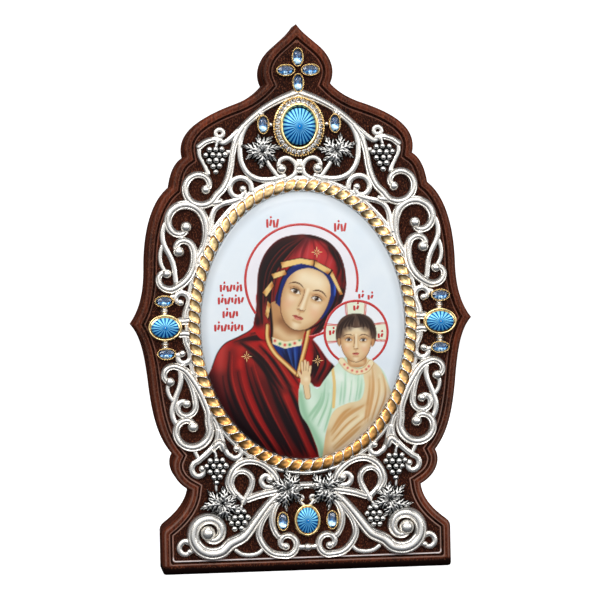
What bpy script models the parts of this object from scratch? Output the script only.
"""Tabletop icon: a moulded wooden board faced with an enamel plate, a gilt rope border, silver
scrollwork, grapes and vine leaves, and set stones.

The drawing plane is X (right) and Z (up from the foot), in millimetres, and the front faces -Y.
"Height" below means the distance in front of the board's recessed field. Everything is mirrored
about X = 0. The origin is the middle of the foot's flat underside.
"""
import math
from typing import NamedTuple

import bmesh
import bpy
import numpy as np
from mathutils import Matrix

MM = 0.001
GAP = 0.3                       # clear space between neighbouring pieces

BOARD_DEPTH = 18.0
RIM_WIDTH = 2.8                 # raised rim round the recessed field
STEP_WIDTH = 0.3                # how far the step down to the field slopes
FIELD_SINK = 1.0                # how far the field lies behind the rim
EDGE_ROUND = 1.7                # quarter round between the board's side and its rim
FIELD_Y = FIELD_SINK - BOARD_DEPTH / 2

PLATE_CENTRE = (0.0, 78.7)
ROPE_SEMI = (35.0, 45.0)        # centreline of the rope border
ROPE_HALF_WIDTH = 1.8
ROPE_RISE = 3.4
ROPE_LOBES = 72
COLLAR_SEMI = (37.6, 47.6)      # centreline of the silver collar that the wires spring from
COLLAR_WIDTH = 0.8
COLLAR_STEPS = 24
COLLAR_END = 93                 # degrees from +X, just past the plane of symmetry
PLATE_SEMI = (32.6, 42.6)
PLATE_EDGE = 1.2                # height of the plate's edge
PLATE_DOME = 3.6                # height of the plate's middle

WIRE_STEP = 72                  # degrees between the points of a volute
WIRE_SLACK = 0.45               # how far a thinned wire may leave its smooth curve
FLAT_ANGLE = math.radians(2)    # faces that meet flatter than this are one face
SMALLEST_BEAD = 1.1             # finer beads are left to the dressed surface
BEAD_FLATNESS = 0.65
WIRE_RISE = 0.8                 # a wire's height for each millimetre of its width
SPECK = 0.02                    # a cube inside a solid, which a union needs as its second part
BERRY_PITCH = 2.05
BERRY_RISE = 1.5                # a berry's height above the bunch's cast back
BUNCH_BACK = 0.8
LEAF_HEIGHT = 2.7               # the leaves lie over the wires
LEAF_THICKNESS = 0.7

TOP_MEDALLION = (0.0, 142.2)
SIDE_MEDALLION = (44.2, 79.0)
BOTTOM_MEDALLION = (0.0, 16.3)
SETTING_HEIGHT = 2.3
CABOCHON_SEAT = 1.6             # height of a cabochon's edge
CABOCHON_SWELL = 0.42           # height of its dome, as a part of its short semi-axis

STONE_LONG = 3.15               # semi-axes of an oval stone's bezel
STONE_SHORT = 2.0
STONE_PART = 0.8                # the stone's seat, as a part of its bezel
BEZEL_HEIGHT = 2.0
UPPER_STONE = (44.4, 87.4)      # the stones above and below the side medallion
LOWER_STONE = (44.0, 70.7)
POST_WIDTH = 2.2                # posts between the side medallion and its two stones
POST_DEPTH = 0.9
POST_SINK = 0.35                # how far a post runs into the medallion's rim
CUTTER_DEPTH = 24.0             # cutters reach past the scrollwork on both sides

SHADES = {                      # colour, roughness, metallic
    "stained_wood": ((0.10, 0.022, 0.012), 0.35, 0.0),
    "white_enamel": ((0.78, 0.84, 0.88), 0.10, 0.0),
    "polished_silver": ((0.86, 0.86, 0.85), 0.18, 1.0),
    "blackened_silver": ((0.35, 0.35, 0.35), 0.35, 1.0),
    "gilt": ((0.93, 0.74, 0.40), 0.22, 1.0),
    "blue_enamel": ((0.02, 0.30, 0.62), 0.08, 0.0),
    "blue_topaz": ((0.35, 0.60, 0.80), 0.04, 0.0),
}


class Volute(NamedTuple):
    """A spiral round its eye; radius goes from outer to inner as the angle goes from start to end."""
    eye: tuple
    outer: float
    inner: float
    start: float
    end: float
    hold: float                 # above 1 keeps the first turn wide

    def points(self):
        """Return the spiral's points, from its outer end to its eye."""
        count = max(3, int(abs(self.end - self.start) / WIRE_STEP) + 1)
        run = np.linspace(0.0, 1.0, count)
        angle = np.radians(self.start + (self.end - self.start) * run)
        radius = self.outer + (self.inner - self.outer) * run ** self.hold
        return list(zip(self.eye[0] + radius * np.cos(angle), self.eye[1] + radius * np.sin(angle)))


class Wire(NamedTuple):
    """One wire of the right-hand scrollwork."""
    name: str
    stem: list
    widths: tuple               # at its start, middle and end
    tail: Volute = None
    head: Volute = None
    bead: float = 0.0           # radius of the bead at the tail's eye
    head_bead: float = 0.0

    def points(self):
        """Return the wire's points, head first."""
        head = self.head.points()[::-1] if self.head else []
        return head + list(self.stem) + (self.tail.points() if self.tail else [])


# Board outline, right half: Bezier pieces from the apex down to the foot's underside.
OUTLINE = [
    ((0, 175), (1.8, 172.2), (4.8, 170.2), (7.6, 167.6)),
    ((7.6, 167.6), (10.4, 165.0), (12.8, 160.6), (10.6, 155.9)),
    ((10.6, 155.9), (12.6, 153.6), (16.0, 151.2), (20.5, 149.7)),
    ((20.5, 149.7), (30.5, 146.2), (38.5, 141.5), (36.6, 133.3)),
    ((36.6, 133.3), (39.6, 131.4), (40.7, 127.6), (41.3, 123.8)),
    ((41.3, 123.8), (46.6, 119.6), (49.6, 110.5), (49.8, 98.0)),
    ((49.8, 98.0), (49.9, 90.5), (51.2, 84.6), (54.7, 80.0)),
    ((54.7, 80.0), (51.4, 76.4), (50.2, 70.5), (49.3, 62.0)),
    ((49.3, 62.0), (48.3, 51.5), (46.8, 43.5), (42.1, 37.7)),
    ((42.1, 37.7), (43.9, 34.6), (42.6, 29.6), (37.2, 26.7)),
    ((37.2, 26.7), (37.6, 22.6), (40.4, 18.8), (45.0, 15.4)),
    ((45.0, 15.4), (46.0, 14.7), (46.5, 13.9), (46.5, 12.9)),
    ((46.5, 12.9), (46.5, 8.6), (46.5, 4.3), (46.5, 0.0)),
]

WIRES = [
    # the roof below the cross, and the ring round the upper leaf
    Wire("roof", [(-0.6, 153.3), (5.6, 151.0), (11.2, 148.0), (15.5, 144.6), (19.5, 140.9), (23.0, 138.0),
                  (24.6, 137.4), (25.9, 138.8)], (2.2, 1.6, 1.1)),
    Wire("ring", [(13.4, 145.6), (16.4, 143.0), (18.3, 139.4), (19.0, 135.2), (18.6, 131.2),
                  (16.9, 127.9), (13.9, 125.9), (10.0, 125.4), (6.0, 126.1), (4.2, 126.7)],
         (1.1, 1.3, 1.4)),
    Wire("stone_tie", [(11.7, 145.6), (12.7, 147.4)], (2.0, 2.0, 1.6)),
    Wire("leaf_stem", [(6.6, 125.9), (8.4, 128.2), (9.9, 130.4), (11.2, 133.0)], (1.1, 1.0, 1.0)),
    # the heart above the rope border
    Wire("heart", [(5.4, 125.2), (3.2, 125.9), (1.5, 127.2)], (1.2, 1.1, 1.1),
         tail=Volute((5.0, 129.5), 4.0, 1.0, 185, -40, 1.0), bead=1.1),
    Wire("heart_web", [(-0.6, 128.6), (1.2, 128.6)], (1.5, 1.5, 1.5)),
    Wire("stalk", [(0.3, 131.9), (0.3, 127.4)], (1.1, 1.1, 1.1)),
    # the hook that the upper grapes hang from
    Wire("hook_bar", [(24.2, 138.1), (27.2, 138.5), (30.0, 137.7), (31.8, 136.4), (32.8, 135.7)],
         (0.9, 1.5, 1.8)),
    Wire("hook_vine", [(32.0, 135.9), (31.9, 133.6), (30.7, 131.0), (29.6, 128.7), (29.2, 127.0)],
         (1.1, 1.0, 1.3)),
    Wire("hook_loop", [(26.5, 138.5)], (1.0, 1.0, 1.0), tail=Volute((25.3, 140.6), 1.4, 1.4, -60, 240, 1.0)),
    # the shoulder
    Wire("long_stem", [(17.4, 143.0), (20.0, 138.8), (21.4, 134.0), (22.2, 129.0), (23.3, 125.4),
                       (24.8, 122.7)], (1.2, 1.9, 1.5),
         tail=Volute((31.6, 123.2), 5.5, 1.5, 205, 560, 3.0), bead=1.2),
    Wire("small_curl", [(15.4, 121.3), (15.6, 123.2)], (1.3, 1.3, 1.2),
         tail=Volute((19.2, 122.5), 3.8, 0.9, 150, -190, 2.0), bead=0.9),
    Wire("curl_tie", [(22.0, 124.4), (23.9, 124.6)], (1.1, 1.1, 1.1)),
    Wire("branch", [(18.0, 120.0), (21.6, 118.8), (25.0, 118.0), (27.4, 116.3), (28.5, 113.6), (28.9, 110.5),
                    (29.6, 107.4)], (1.3, 1.3, 1.7)),
    Wire("branch_tie", [(24.6, 119.0), (26.4, 118.6), (28.8, 118.2)], (1.2, 1.8, 1.2)),
    # the upper side
    Wire("upper_volute", [(33.7, 100.7), (31.5, 104.2), (30.4, 108.4)], (1.4, 2.3, 1.5),
         tail=Volute((37.3, 111.6), 6.7, 0.9, 170, -130, 2.2), bead=1.4),
    Wire("shoulder_tie", [(31.2, 116.6), (33.4, 117.8)], (1.4, 1.4, 1.4)),
    Wire("waist_scroll", [(34.3, 101.2), (35.0, 97.2), (36.9, 94.1)], (1.4, 2.1, 1.3),
         tail=Volute((43.2, 95.2), 4.9, 1.0, 218, 450, 1.0), bead=1.2,
         head=Volute((38.3, 103.7), 3.7, 1.1, 178, -30, 1.2), head_bead=1.4),
    Wire("outer_vine", [(42.8, 113.2), (43.9, 110.8), (44.3, 108.2), (43.9, 105.6), (41.2, 99.6), (40.3, 92.8)],
         (1.1, 1.3, 1.2)),
    Wire("outer_twig", [(44.2, 105.6), (45.1, 102.8), (45.1, 100.0), (44.4, 98.0), (43.5, 96.8)], (1.0, 1.0, 1.0)),
    Wire("upper_band", [(29.6, 109.0), (31.2, 105.0), (33.4, 101.0), (35.4, 97.2)], (1.4, 1.5, 1.4)),
    Wire("volute_tie", [(38.6, 108.6), (38.2, 106.6)], (1.3, 1.3, 1.3)),
    Wire("upper_hook", [(37.9, 81.1), (37.5, 83.9), (36.6, 86.2)], (1.6, 1.4, 1.1),
         tail=Volute((38.8, 87.7), 2.5, 0.9, 190, -70, 2.0), bead=0.9),
    Wire("upper_hook_tie", [(39.6, 92.2), (38.6, 89.8)], (1.3, 1.3, 1.3)),
    Wire("stone_link_up", [(40.4, 89.2), (42.4, 88.4)], (1.2, 1.2, 1.2)),
    # the lower side
    Wire("lower_hook", [(37.9, 76.8), (37.5, 73.9), (36.3, 71.4)], (1.6, 1.4, 1.1),
         tail=Volute((38.6, 69.8), 2.5, 0.9, 170, 430, 2.0), bead=0.9),
    Wire("lower_hook_tie", [(38.2, 67.6), (39.6, 65.8)], (1.3, 1.3, 1.3)),
    Wire("stone_link_low", [(38.9, 69.9), (42.0, 70.5)], (1.1, 1.1, 1.1)),
    Wire("lower_volute", [(37.8, 64.9), (33.7, 58.8), (32.1, 55.2), (30.9, 51.4)], (1.4, 2.2, 1.6),
         tail=Volute((36.6, 46.4), 6.1, 1.0, 160, 490, 2.6), bead=1.4,
         head=Volute((42.4, 63.2), 4.0, 1.6, 135, -70, 0.9), head_bead=1.2),
    Wire("inner_curl", [(38.9, 65.0), (36.9, 62.0), (35.7, 58.8), (35.1, 55.8)], (1.3, 1.6, 1.3),
         tail=Volute((38.3, 53.8), 3.4, 0.9, 190, 480, 1.6), bead=1.1),
    Wire("side_vine", [(39.7, 65.6), (39.5, 61.8), (41.5, 56.0), (42.5, 52.6), (42.1, 49.8), (40.9, 47.6)],
         (1.2, 1.3, 1.3)),
    Wire("side_twig", [(41.8, 55.2), (43.2, 57.2), (43.8, 59.5), (43.3, 61.4)], (1.0, 1.0, 1.0)),
    Wire("lower_volute_tie", [(38.3, 51.3), (38.3, 49.6)], (1.3, 1.3, 1.3)),
    Wire("lower_band", [(35.4, 62.4), (33.2, 58.6), (29.9, 50.8), (28.4, 48.2), (27.7, 45.4)],
         (1.3, 1.5, 1.6)),
    Wire("fork_inner", [(27.8, 46.6), (26.9, 43.0), (26.1, 40.0), (24.8, 37.8)], (1.5, 1.3, 1.2),
         tail=Volute((22.3, 39.1), 2.6, 0.8, -30, -260, 1.2), bead=0.9),
    Wire("fork_outer", [(27.8, 46.6), (28.3, 42.9), (29.9, 40.3), (34.6, 36.2)], (1.5, 1.4, 1.2),
         tail=Volute((34.0, 33.3), 2.9, 0.8, 50, -210, 1.2), bead=0.9),
    Wire("fork_web", [(26.0, 38.9), (27.6, 41.8), (30.0, 39.8)], (1.4, 2.2, 1.4)),
    Wire("fork_bar", [(36.6, 41.5), (34.3, 36.6)], (1.0, 1.0, 1.0)),
    Wire("fork_tie", [(21.0, 37.0), (20.3, 35.2)], (1.3, 1.3, 1.3)),
    # the base
    Wire("base_volute", [(8.0, 25.4), (11.2, 22.9), (14.3, 19.4), (17.2, 15.6), (20.5, 11.6)],
         (1.6, 3.1, 2.3), tail=Volute((31.0, 13.1), 7.3, 1.0, 210, 720, 1.2), bead=1.9),
    Wire("foot_curl", [(9.8, 22.4), (12.8, 18.9), (14.9, 15.4), (15.6, 11.8), (14.6, 9.2), (12.8, 6.9),
                       (10.6, 5.6)], (1.3, 1.8, 1.3),
         tail=Volute((6.9, 8.9), 3.9, 0.9, -72, -440, 1.4), bead=1.0),
    Wire("crescent", [(7.6, 23.6), (9.8, 21.4), (11.1, 18.3), (11.2, 15.2), (10.2, 12.4), (8.8, 10.6)],
         (1.2, 1.7, 1.4)),
    Wire("foot_arc", [(13.8, 8.2), (15.6, 6.3), (18.3, 5.6), (21.2, 6.0), (23.6, 7.6)], (1.0, 1.0, 1.0)),
    Wire("end_curl", [(36.6, 9.4), (38.2, 10.3)], (1.3, 1.3, 1.1),
         tail=Volute((39.1, 8.3), 2.4, 1.6, 85, -140, 1.0), bead=0.8),
    Wire("end_link", [(37.6, 7.0), (35.6, 8.4)], (1.0, 1.0, 1.0)),
    Wire("arm", [(8.4, 26.1), (15.5, 24.7), (19.8, 23.2)], (1.8, 1.9, 1.8)),
    Wire("loop", [(20.9, 21.8), (19.9, 23.4), (17.5, 28.2), (17.7, 30.7), (19.3, 32.3), (21.4, 32.6),
                  (23.3, 31.3), (24.1, 29.0), (23.5, 26.6), (20.4, 23.2)], (1.3, 1.5, 1.3)),
    Wire("arch", [(8.6, 27.6), (10.0, 31.0), (13.1, 34.1), (16.3, 35.6), (19.6, 35.7), (22.7, 34.1),
                  (24.6, 31.3), (25.1, 28.2), (22.6, 24.0)], (1.6, 1.8, 1.4)),
    Wire("arch_curl", [(8.6, 27.2), (11.8, 27.1)], (1.4, 1.3, 1.2),
         tail=Volute((12.6, 29.5), 2.3, 0.9, -80, 170, 1.0), bead=1.0),
    Wire("leaf_bar", [(-0.6, 27.5), (6.0, 27.3), (9.2, 26.8)], (1.6, 1.8, 1.9)),
    Wire("centre_bar", [(-0.6, 7.6), (3.2, 7.7)], (1.4, 1.4, 1.4), head_bead=1.1),
]

# Bunches of grapes: the centre of the middle of the top row, and the berries in each row.
BUNCHES = {
    "upper": ((26.8, 135.4), (3, 4, 3, 2, 1)),
    "side": ((28.8, 36.3), (3, 4, 3, 2, 1)),
    "base": ((21.3, 19.7), (2, 3, 3, 2)),
}

# Leaf centres, the direction of the middle lobe in degrees, and the length of that lobe.
LEAVES = {"upper": ((12.0, 134.6), -60.0, 6.4), "lower": ((27.2, 22.2), 150.0, 6.2),
          "centre": ((5.6, 26.4), -100.0, 6.3)}


def clear_scene():
    """Remove every object of the open scene."""
    for item in list(bpy.data.objects):
        bpy.data.objects.remove(item, do_unlink=True)


def make_collection(name):
    """Return a new collection linked to the scene."""
    made = bpy.data.collections.new(name)
    bpy.context.scene.collection.children.link(made)
    return made


def make_material(name):
    """Return the Principled material of one of the SHADES."""
    colour, roughness, metallic = SHADES[name]
    made = bpy.data.materials.new(name)
    made.use_nodes = True
    shader = made.node_tree.nodes["Principled BSDF"]
    shader.inputs["Base Color"].default_value = (*colour, 1.0)
    shader.inputs["Roughness"].default_value = roughness
    shader.inputs["Metallic"].default_value = metallic
    made.diffuse_color = (*colour, 1.0)
    return made


def at(x, z, height):
    """Return the point in metres that lies height in front of the field, at X and Z in the drawing."""
    return (x * MM, (FIELD_Y - height) * MM, z * MM)


def stand_up(x, z, height):
    """Return the matrix from drawing millimetres (X, Z, height) round a centre to the part's frame."""
    turn = Matrix(((1, 0, 0), (0, 0, -1), (0, 1, 0))).to_4x4()
    return Matrix.Translation(at(x, z, height)) @ Matrix.Scale(MM, 4) @ turn


def to_mesh(source, name):
    """Return the evaluated mesh of an object in its world place, closed up, and remove the object."""
    bpy.context.view_layer.update()
    graph = bpy.context.evaluated_depsgraph_get()
    mesh = bpy.data.meshes.new_from_object(source.evaluated_get(graph))
    mesh.transform(source.matrix_world)
    mesh.name = name
    bpy.data.objects.remove(source, do_unlink=True)
    tidy(mesh)
    return mesh


def tidy(mesh, merge=0.00001):
    """Merge coincident points, drop flat faces and turn all the faces outwards."""
    shape = bmesh.new()
    shape.from_mesh(mesh)
    bmesh.ops.remove_doubles(shape, verts=shape.verts, dist=merge)
    bmesh.ops.dissolve_degenerate(shape, edges=shape.edges, dist=merge)
    bmesh.ops.recalc_face_normals(shape, faces=shape.faces)
    shape.to_mesh(mesh)
    shape.free()


def place(name, mesh, shade, collection):
    """Put a finished mesh in the collection as a named piece with its material."""
    piece = bpy.data.objects.new(name, mesh)
    mesh.materials.clear()
    mesh.materials.append(shade)
    collection.objects.link(piece)
    return piece


def turned(name, profile, segments, semi, centre, closed=False):
    """Return an oval turned solid.

    The profile holds (reach, height) pairs, where reach 1 is the oval's edge; a closed one makes a
    ring. A Screw modifier turns it, and the round result is stretched to the semi-axes.
    """
    mesh = bpy.data.meshes.new(name)
    edges = [(i, i + 1) for i in range(len(profile) - 1)]
    if closed:
        edges.append((len(profile) - 1, 0))
    mesh.from_pydata([(reach, 0.0, height) for reach, height in profile], edges, [])
    source = bpy.data.objects.new(name, mesh)
    bpy.context.scene.collection.objects.link(source)
    screw = source.modifiers.new("turn", "SCREW")
    screw.steps = segments
    screw.render_steps = segments
    screw.use_merge_vertices = True
    screw.merge_threshold = 0.0001
    solid = to_mesh(source, name)
    solid.transform(stand_up(*centre, 0.0) @ Matrix.Diagonal((semi[0], semi[1], 1.0, 1.0)))
    tidy(solid)
    solid.shade_smooth()
    solid.set_sharp_from_angle(angle=math.radians(35))
    return solid


def bezier(control, steps):
    """Return the points of one cubic Bezier piece, without its last point."""
    run = np.arange(steps)[:, None] / steps
    a, b, c, d = (np.array(point, float) for point in control)
    return (1 - run) ** 3 * a + 3 * (1 - run) ** 2 * run * b + 3 * (1 - run) * run ** 2 * c + run ** 3 * d


def board_outline():
    """Return the closed outline of the board, clockwise from the apex, and mirrored at X = 0."""
    steps = [2, 3, 2, 4, 2, 4, 3, 3, 4, 3, 3, 2, 1]
    right = np.vstack([bezier(piece, count) for piece, count in zip(OUTLINE, steps)])
    right = np.vstack([right, OUTLINE[-1][-1]])
    left = right[:0:-1] * (-1, 1)
    return np.vstack([right, left])


def inset(outline, distance):
    """Return the outline moved inwards; points left too near the old one slide along to the corner."""
    ahead = np.roll(outline, -1, axis=0) - outline
    ahead /= np.linalg.norm(ahead, axis=1)[:, None]
    behind = np.roll(ahead, 1, axis=0)
    inward = np.column_stack((ahead[:, 1], -ahead[:, 0]))
    inward_behind = np.column_stack((behind[:, 1], -behind[:, 0]))
    mitre = (inward + inward_behind) / (1 + (inward * inward_behind).sum(axis=1))[:, None]
    moved = outline + mitre * distance
    start = outline[None, :, :]
    side = np.roll(outline, -1, axis=0)[None, :, :] - start
    reach = np.clip(((moved[:, None, :] - start) * side).sum(-1) / (side ** 2).sum(-1), 0, 1)
    nearest = np.linalg.norm(moved[:, None, :] - start - reach[..., None] * side, axis=-1).min(axis=1)
    good = np.flatnonzero(nearest > 0.93 * distance)
    places = np.arange(len(outline))
    away = np.abs(places[:, None] - good[None, :])
    away = np.minimum(away, len(outline) - away)
    return moved[good[away.argmin(axis=1)]]


def make_board():
    """Loft the board through insets of its outline: back, side, quarter round, rim, step and field."""
    outline = board_outline()
    half = BOARD_DEPTH / 2
    levels = [(0.0, half), (0.0, EDGE_ROUND - half)]
    for turn in (45, 90):
        angle = math.radians(turn)
        levels.append((EDGE_ROUND * (1 - math.cos(angle)), EDGE_ROUND * (1 - math.sin(angle)) - half))
    levels += [(RIM_WIDTH - STEP_WIDTH, -half), (RIM_WIDTH, FIELD_Y)]
    shape = bmesh.new()
    rings = []
    for distance, y in levels:
        ring = inset(outline, distance) if distance else outline
        rings.append([shape.verts.new((x * MM, y * MM, z * MM)) for x, z in ring])
    count = len(outline)
    for lower, upper in zip(rings, rings[1:]):
        for i in range(count):
            shape.faces.new((lower[i], lower[(i + 1) % count], upper[(i + 1) % count], upper[i]))
    shape.faces.new(rings[0])
    shape.faces.new(rings[-1])
    bmesh.ops.remove_doubles(shape, verts=shape.verts, dist=0.00005)
    bmesh.ops.triangulate(shape, faces=shape.faces, ngon_method="EAR_CLIP")
    bmesh.ops.recalc_face_normals(shape, faces=shape.faces)
    mesh = bpy.data.meshes.new("board")
    shape.to_mesh(mesh)
    shape.free()
    return mesh


def make_plate():
    """Turn the domed enamel plate; its crown is part of an ellipse."""
    profile = [(0.0, PLATE_DOME)]
    for reach in (0.4, 0.7, 0.9):
        profile.append((reach, PLATE_EDGE + (PLATE_DOME - PLATE_EDGE) * math.sqrt(1 - reach ** 2)))
    profile += [(1.0, PLATE_EDGE), (1.0, GAP), (0.0, GAP)]
    return turned("enamel_plate", profile, 28, PLATE_SEMI, PLATE_CENTRE)


def make_rope():
    """Shape a three-sided torus into the rope border: an oval ridge whose lobes slant across it."""
    bpy.ops.mesh.primitive_torus_add(major_segments=2 * ROPE_LOBES, minor_segments=3,
                                     major_radius=1.0, minor_radius=0.2)
    source = bpy.context.object
    for vert in source.data.vertices:
        x, y, z = vert.co
        along = math.atan2(y, x)
        corner = round(math.atan2(z, math.hypot(x, y) - 1.0) / math.radians(120)) % 3
        across, rise, slant = ((0.0, ROPE_RISE, 0.0), (-1.0, 0.0, -0.9), (1.0, 0.0, 0.9))[corner]
        lobe = 0.85 + 0.15 * math.cos(ROPE_LOBES * along + slant)
        outward = np.array((math.cos(along) / ROPE_SEMI[0], math.sin(along) / ROPE_SEMI[1]))
        outward /= np.linalg.norm(outward)
        middle = np.array((ROPE_SEMI[0] * math.cos(along), ROPE_SEMI[1] * math.sin(along)))
        vert.co = (*(middle + outward * across * ROPE_HALF_WIDTH * lobe), GAP + rise * lobe)
    mesh = to_mesh(source, "rope_border")
    mesh.transform(stand_up(*PLATE_CENTRE, 0.0))
    return mesh


def smooth(points, parts=8):
    """Return a smooth (centripetal Catmull-Rom) curve through the points."""
    knots = np.array(points, float)
    if len(knots) < 3:
        return knots
    knots = np.vstack([2 * knots[0] - knots[1], knots, 2 * knots[-1] - knots[-2]])
    step = np.sqrt(np.linalg.norm(np.diff(knots, axis=0), axis=1))[:, None]
    slope = np.diff(knots, axis=0) / step
    wide = (knots[2:] - knots[:-2]) / (step[:-1] + step[1:])
    out = []
    for i in range(1, len(knots) - 2):
        leave = step[i] * (slope[i - 1] - wide[i - 1] + slope[i])
        reach = step[i] * (slope[i] - wide[i] + slope[i + 1])
        run = np.arange(parts)[:, None] / parts
        out.append((2 * run ** 3 - 3 * run ** 2 + 1) * knots[i] + (run ** 3 - 2 * run ** 2 + run) * leave
                   + (3 * run ** 2 - 2 * run ** 3) * knots[i + 1] + (run ** 3 - run ** 2) * reach)
    return np.vstack([*out, knots[-2]])


def off_rope(path, width):
    """Return the path with whatever would reach inside the collar moved out to its inner edge."""
    margin = (width - COLLAR_WIDTH) / 2
    reach = np.hypot((path[:, 0] - PLATE_CENTRE[0]) / (COLLAR_SEMI[0] + margin),
                     (path[:, 1] - PLATE_CENTRE[1]) / (COLLAR_SEMI[1] + margin))
    return PLATE_CENTRE + (path - PLATE_CENTRE) / np.minimum(reach, 1.0)[:, None]


def thinned(path, slack):
    """Return the indices of the points that keep a path within slack of its full course."""
    first, last = path[0], path[-1]
    chord = last - first
    length = max(np.linalg.norm(chord), 1e-9)
    offset = np.abs(chord[0] * (path[:, 1] - first[1]) - chord[1] * (path[:, 0] - first[0])) / length
    if length < slack:
        offset = np.linalg.norm(path - first, axis=1)
    worst = int(offset.argmax())
    if len(path) < 3 or offset[worst] <= slack:
        return [0, len(path) - 1]
    return thinned(path[:worst + 1], slack)[:-1] + [worst + i for i in thinned(path[worst:], slack)]


def wire_width(run, widths):
    """Return the width at a run from 0 to 1, swelling from its ends to its middle."""
    swell = np.sin(np.pi * run)
    end = np.where(run < 0.5, widths[0], widths[2])
    return end + (widths[1] - end) * swell


def make_profile():
    """Return a curve object with a wire's section: flat behind, ridged in front, one unit wide."""
    data = bpy.data.curves.new("wire_section", "CURVE")
    data.dimensions = "2D"
    spline = data.splines.new("POLY")
    corners = [(-0.5, 0.0), (0.5, 0.0), (0.0, WIRE_RISE)]
    spline.points.add(len(corners) - 1)
    for point, (x, y) in zip(spline.points, corners):
        point.co = (x, y, 0.0, 1.0)
    spline.use_cyclic_u = True
    section = bpy.data.objects.new("wire_section", data)
    bpy.context.scene.collection.objects.link(section)
    return section


def add_collar(data):
    """Add the right-hand half of the oval collar to the wires."""
    spline = data.splines.new("POLY")
    spline.points.add(COLLAR_STEPS)
    for i, point in enumerate(spline.points):
        angle = math.radians(COLLAR_END * (2 * i / COLLAR_STEPS - 1))
        point.co = (PLATE_CENTRE[0] + COLLAR_SEMI[0] * math.cos(angle),
                    PLATE_CENTRE[1] + COLLAR_SEMI[1] * math.sin(angle), 0.0, 1.0)
        point.radius = COLLAR_WIDTH


def make_wires(section):
    """Return the right-hand wires and beads as one mesh of overlapping solids, in drawing millimetres."""
    data = bpy.data.curves.new("wires", "CURVE")
    data.dimensions = "2D"
    data.fill_mode = "NONE"
    data.bevel_mode = "OBJECT"
    data.bevel_object = section
    data.use_fill_caps = True
    add_collar(data)
    beads = []
    for wire in WIRES:
        path = smooth(wire.points())
        length = np.concatenate(([0.0], np.cumsum(np.linalg.norm(np.diff(path, axis=0), axis=1))))
        width = wire_width(length / length[-1], wire.widths)
        path = off_rope(path, width)
        keep = thinned(path, WIRE_SLACK)
        spline = data.splines.new("POLY")
        spline.points.add(len(keep) - 1)
        for point, i in zip(spline.points, keep):
            point.co = (*path[i], 0.0, 1.0)
            point.radius = width[i]
        beads += [(path[-1], wire.bead), (path[0], wire.head_bead)]
    source = bpy.data.objects.new("wires", data)
    bpy.context.scene.collection.objects.link(source)
    mesh = to_mesh(source, "wires")
    shape = bmesh.new()
    shape.from_mesh(mesh)
    for (x, z), radius in beads:
        if radius >= SMALLEST_BEAD:
            spot = Matrix.Translation((x, z, BEAD_FLATNESS * radius))
            spot = spot @ Matrix.Diagonal((1.0, 1.0, BEAD_FLATNESS, 1.0))
            bmesh.ops.create_icosphere(shape, subdivisions=1, radius=radius, matrix=spot)
    shape.to_mesh(mesh)
    shape.free()
    return mesh


def united(mesh, name):
    """Return a mesh of overlapping closed solids as one solid."""
    first = bpy.data.objects.new(name, mesh)
    bpy.context.scene.collection.objects.link(first)
    speck = bpy.data.meshes.new("speck")
    shape = bmesh.new()
    middle = mesh.vertices[0].co
    bmesh.ops.create_cube(shape, size=SPECK, matrix=Matrix.Translation(middle))
    shape.to_mesh(speck)
    shape.free()
    second = bpy.data.objects.new("speck", speck)
    bpy.context.scene.collection.objects.link(second)
    join = first.modifiers.new("join", "BOOLEAN")
    join.operation = "UNION"
    join.solver = "EXACT"
    join.use_self = True
    join.object = second
    solid = to_mesh(first, name)
    bpy.data.objects.remove(second, do_unlink=True)
    shape = bmesh.new()
    shape.from_mesh(solid)
    bmesh.ops.dissolve_limit(shape, angle_limit=FLAT_ANGLE, verts=shape.verts, edges=shape.edges)
    shape.to_mesh(solid)
    shape.free()
    return solid


def make_cutter(name, centre, semi, collection, segments=24):
    """Add an oval cutter that clears a neighbour by the gap."""
    mesh = bpy.data.meshes.new(name)
    shape = bmesh.new()
    bmesh.ops.create_cone(shape, cap_ends=True, segments=segments, radius1=1.0, radius2=1.0,
                          depth=CUTTER_DEPTH)
    shape.to_mesh(mesh)
    shape.free()
    size = Matrix.Diagonal((semi[0] + GAP, semi[1] + GAP, 1.0, 1.0))
    mesh.transform(Matrix.Translation((*centre, 0.0)) @ size)
    cutter = bpy.data.objects.new(name, mesh)
    cutter.hide_render = True
    cutter.display_type = "WIRE"
    collection.objects.link(cutter)
    return cutter


def stone_places():
    """Return the name, centre and semi-axes of each set stone's bezel."""
    upright, level = (STONE_SHORT, STONE_LONG), (STONE_LONG, STONE_SHORT)
    places = [("cross_top", (0.0, 164.3), upright), ("cross_bottom", (0.0, 156.1), upright)]
    for word, side in (("left", -1), ("right", 1)):
        places += [
            (f"cross_{word}", (3.95 * side, 160.2), level),
            (f"flank_{word}", (11.5 * side, 143.0), upright),
            (f"side_upper_{word}", (UPPER_STONE[0] * side, UPPER_STONE[1]), level),
            (f"side_lower_{word}", (LOWER_STONE[0] * side, LOWER_STONE[1]), level),
            (f"foot_{word}", (7.9 * side, 16.2), upright),
        ]
    return places


def medallion_places():
    """Return the name, centre, outer semi-axes and stone semi-axes of each medallion."""
    x, z = SIDE_MEDALLION
    return [("top", TOP_MEDALLION, (8.4, 9.7), (5.0, 5.9)),
            ("left", (-x, z), (5.6, 4.25), (4.2, 3.1)),
            ("right", (x, z), (5.6, 4.25), (4.2, 3.1)),
            ("bottom", BOTTOM_MEDALLION, (4.1, 5.5), (3.2, 4.1))]


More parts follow.
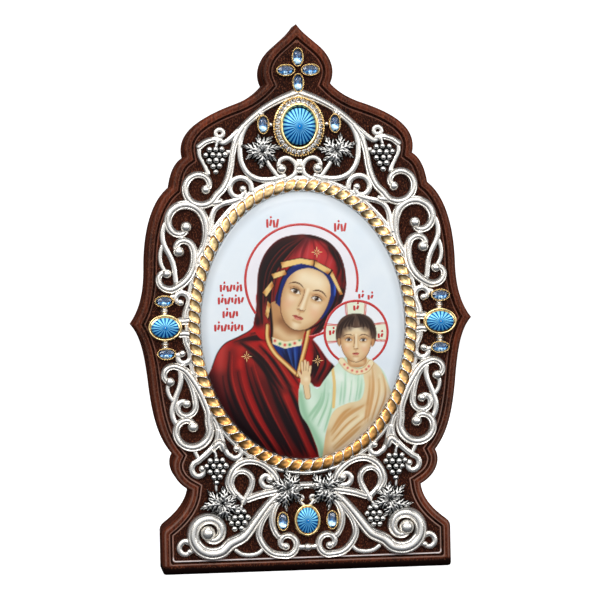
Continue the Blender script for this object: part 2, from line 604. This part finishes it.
def make_filigree(cutters):
    """Join the right-hand wires, clear the settings and the rope, and mirror them into one casting."""
    section = make_profile()
    mesh = make_wires(section)
    bpy.data.objects.remove(section, do_unlink=True)
    mesh = united(mesh, "filigree")
    for name, centre, outer, _ in medallion_places():
        make_cutter(f"{name}_clearance", centre, outer, cutters)
    for name, centre, semi in stone_places():
        make_cutter(f"{name}_clearance", centre, semi, cutters, segments=16)
    source = bpy.data.objects.new("filigree", mesh)
    bpy.context.scene.collection.objects.link(source)
    clear = source.modifiers.new("clear", "BOOLEAN")
    clear.operation = "DIFFERENCE"
    clear.solver = "EXACT"
    clear.operand_type = "COLLECTION"
    clear.collection = cutters
    mesh = to_mesh(source, "filigree")
    source = bpy.data.objects.new("filigree", mesh)
    bpy.context.scene.collection.objects.link(source)
    mirror = source.modifiers.new("mirror", "MIRROR")
    mirror.use_bisect_axis[0] = True
    mirror.use_bisect_flip_axis[0] = False
    mirror.merge_threshold = 0.0001
    mesh = to_mesh(source, "filigree")
    mesh.transform(stand_up(0.0, 0.0, GAP))
    return mesh


def make_stone(name, centre, semi):
    """Turn an eight-sided faceted stone: point behind, girdle, and a table in front."""
    profile = [(0.0, 2.3), (0.62, 2.3), (1.0, 1.7), (0.0, 0.4)]
    size = tuple(STONE_PART * half - GAP for half in semi)
    solid = turned(name, profile, 8, size, centre)
    for face in solid.polygons:
        face.use_smooth = False
    return solid


def make_bezel(name, centre, semi):
    """Turn the plain oval bezel round a stone."""
    profile = [(1.0, GAP), (0.87, BEZEL_HEIGHT), (STONE_PART, GAP)]
    return turned(name, profile, 9, semi, centre, closed=True)


def make_cabochon(name, centre, semi):
    """Turn a domed enamel cabochon."""
    rise = CABOCHON_SWELL * min(semi)
    bend = 0.65
    profile = [(0.0, CABOCHON_SEAT + rise), (bend, CABOCHON_SEAT + rise * math.sqrt(1 - bend ** 2)),
               (1.0, CABOCHON_SEAT), (1.0, GAP), (0.0, GAP)]
    return turned(name, profile, 14, semi, centre)


def make_setting(name, centre, outer, stone):
    """Turn a medallion's gilt setting; the top one carries a wide stepped border for small stones."""
    bore = (stone[0] + GAP) / outer[0]
    if name == "top":
        profile = [(1.0, GAP), (0.97, 2.2), (0.74, 2.2), (0.71, 2.9), (bore, 2.9), (bore, GAP)]
    else:
        profile = [(1.0, GAP), (0.95, SETTING_HEIGHT), (bore, SETTING_HEIGHT), (bore, GAP)]
    mesh = turned(f"{name}_setting", profile, 20, outer, centre, closed=True)
    if name not in ("left", "right"):
        return mesh
    # two posts reach from the side settings towards the stones above and below
    side = math.copysign(1.0, centre[0])
    shape = bmesh.new()
    shape.from_mesh(mesh)
    reach = outer[1] - POST_SINK
    spans = [(UPPER_STONE[0], centre[1] + reach, UPPER_STONE[1] - STONE_SHORT - GAP),
             (LOWER_STONE[0], LOWER_STONE[1] + STONE_SHORT + GAP, centre[1] - reach)]
    for x, low, high in spans:
        size = Matrix.Diagonal((POST_WIDTH, high - low, POST_DEPTH, 1.0))
        box = stand_up(x * side, (low + high) / 2, GAP + 0.2 + POST_DEPTH / 2) @ size
        bmesh.ops.create_cube(shape, size=1.0, matrix=box)
    shape.to_mesh(mesh)
    shape.free()
    return united_metres(mesh, mesh.name)


def united_metres(mesh, name):
    """Unite overlapping solids that are already in the part's frame."""
    mesh.transform(Matrix.Scale(1 / MM, 4))
    solid = united(mesh, name)
    solid.transform(Matrix.Scale(MM, 4))
    return solid


def bunch_places(middle, rows):
    """Return the berry centres of a bunch: rows packed like a honeycomb, each berry in a hollow."""
    places = []
    shift = 0.0
    for i, count in enumerate(rows):
        if i:
            shift += 0.5 if (count - rows[i - 1]) % 2 == 0 else 0.0
        first = middle[0] - BERRY_PITCH * ((count - 1) / 2 - shift % 1)
        z = middle[1] - i * BERRY_PITCH * math.sqrt(0.75)
        places += [(first + BERRY_PITCH * j, z) for j in range(count)]
    return places


def make_grapes(name, middle, rows, side):
    """Raise a six-sided berry on every cell of a bunch, over one cast back."""
    shape = bmesh.new()
    cell = BERRY_PITCH / math.sqrt(3)
    for x, z in bunch_places(middle, rows):
        spot = Matrix.Translation((x, z, BUNCH_BACK))
        bmesh.ops.create_circle(shape, cap_ends=True, segments=6, radius=cell, matrix=spot)
    bmesh.ops.remove_doubles(shape, verts=shape.verts, dist=0.01)
    cells = list(shape.faces)
    lifted = bmesh.ops.extrude_face_region(shape, geom=cells)
    back = [item for item in lifted["geom"] if isinstance(item, bmesh.types.BMVert)]
    bmesh.ops.translate(shape, verts=back, vec=(0.0, 0.0, GAP - BUNCH_BACK))
    poked = bmesh.ops.poke(shape, faces=cells)
    bmesh.ops.translate(shape, verts=poked["verts"], vec=(0.0, 0.0, BERRY_RISE))
    mesh = bpy.data.meshes.new(name)
    shape.to_mesh(mesh)
    shape.free()
    mesh.transform(stand_up(0.0, 0.0, 0.0) @ Matrix.Diagonal((side, 1.0, 1.0, 1.0)))
    tidy(mesh)
    return mesh


def leaf_outline(length):
    """Return the outline of a seven-lobed vine leaf, with its middle lobe along +X."""
    lobes = [(-150, 0.52), (-106, 0.78), (-52, 0.92), (0, 1.0), (52, 0.92), (106, 0.78), (150, 0.52)]
    points = []
    for i, (angle, reach) in enumerate(lobes):
        following = lobes[(i + 1) % len(lobes)][0] + (360 if i == len(lobes) - 1 else 0)
        points.append((angle, reach))
        notch = 0.26 if i == len(lobes) - 1 else 0.5
        points.append(((angle + following) / 2, notch))
    return [(length * reach * math.cos(math.radians(angle)), length * reach * math.sin(math.radians(angle)))
            for angle, reach in points]


def make_leaf(name, centre, direction, length, side):
    """Extrude a vine leaf and raise its middle."""
    shape = bmesh.new()
    rim = [shape.verts.new((x, y, 0.0)) for x, y in leaf_outline(length)]
    face = shape.faces.new(rim)
    lifted = bmesh.ops.extrude_face_region(shape, geom=[face])
    top = [item for item in lifted["geom"] if isinstance(item, bmesh.types.BMVert)]
    bmesh.ops.translate(shape, verts=top, vec=(0.0, 0.0, LEAF_THICKNESS))
    front = [item for item in lifted["geom"] if isinstance(item, bmesh.types.BMFace)]
    poked = bmesh.ops.poke(shape, faces=front)
    for vert in poked["verts"]:
        vert.co.x, vert.co.y = 0.0, 0.0
        vert.co.z += LEAF_THICKNESS
    bmesh.ops.recalc_face_normals(shape, faces=shape.faces)
    mesh = bpy.data.meshes.new(name)
    shape.to_mesh(mesh)
    shape.free()
    mirror = Matrix.Diagonal((side, 1.0, 1.0, 1.0))
    turn = Matrix.Rotation(math.radians(direction), 4, "Z")
    mesh.transform(stand_up(0.0, 0.0, LEAF_HEIGHT) @ mirror @ Matrix.Translation((*centre, 0.0)) @ turn)
    tidy(mesh)
    return mesh


def main():
    """Build every piece of the icon in its place."""
    clear_scene()
    shades = {name: make_material(name) for name in SHADES}
    icon = make_collection("table_icon")
    cutters = make_collection("cutters")
    place("board", make_board(), shades["stained_wood"], icon)
    place("enamel_plate", make_plate(), shades["white_enamel"], icon)
    place("rope_border", make_rope(), shades["gilt"], icon)
    place("filigree", make_filigree(cutters), shades["polished_silver"], icon)
    for name, centre, outer, stone in medallion_places():
        place(f"{name}_setting", make_setting(name, centre, outer, stone), shades["gilt"], icon)
        dome = make_cabochon(f"{name}_cabochon", centre, stone)
        place(f"{name}_cabochon", dome, shades["blue_enamel"], icon)
    for name, centre, semi in stone_places():
        place(f"{name}_bezel", make_bezel(f"{name}_bezel", centre, semi), shades["gilt"], icon)
        place(f"{name}_stone", make_stone(f"{name}_stone", centre, semi), shades["blue_topaz"], icon)
    for word, side in (("left", -1), ("right", 1)):
        for spot, (middle, rows) in BUNCHES.items():
            name = f"{spot}_grapes_{word}"
            place(name, make_grapes(name, middle, rows, side), shades["blackened_silver"], icon)
        for spot, (centre, direction, length) in LEAVES.items():
            name = f"{spot}_leaf_{word}"
            place(name, make_leaf(name, centre, direction, length, side), shades["blackened_silver"], icon)


main()
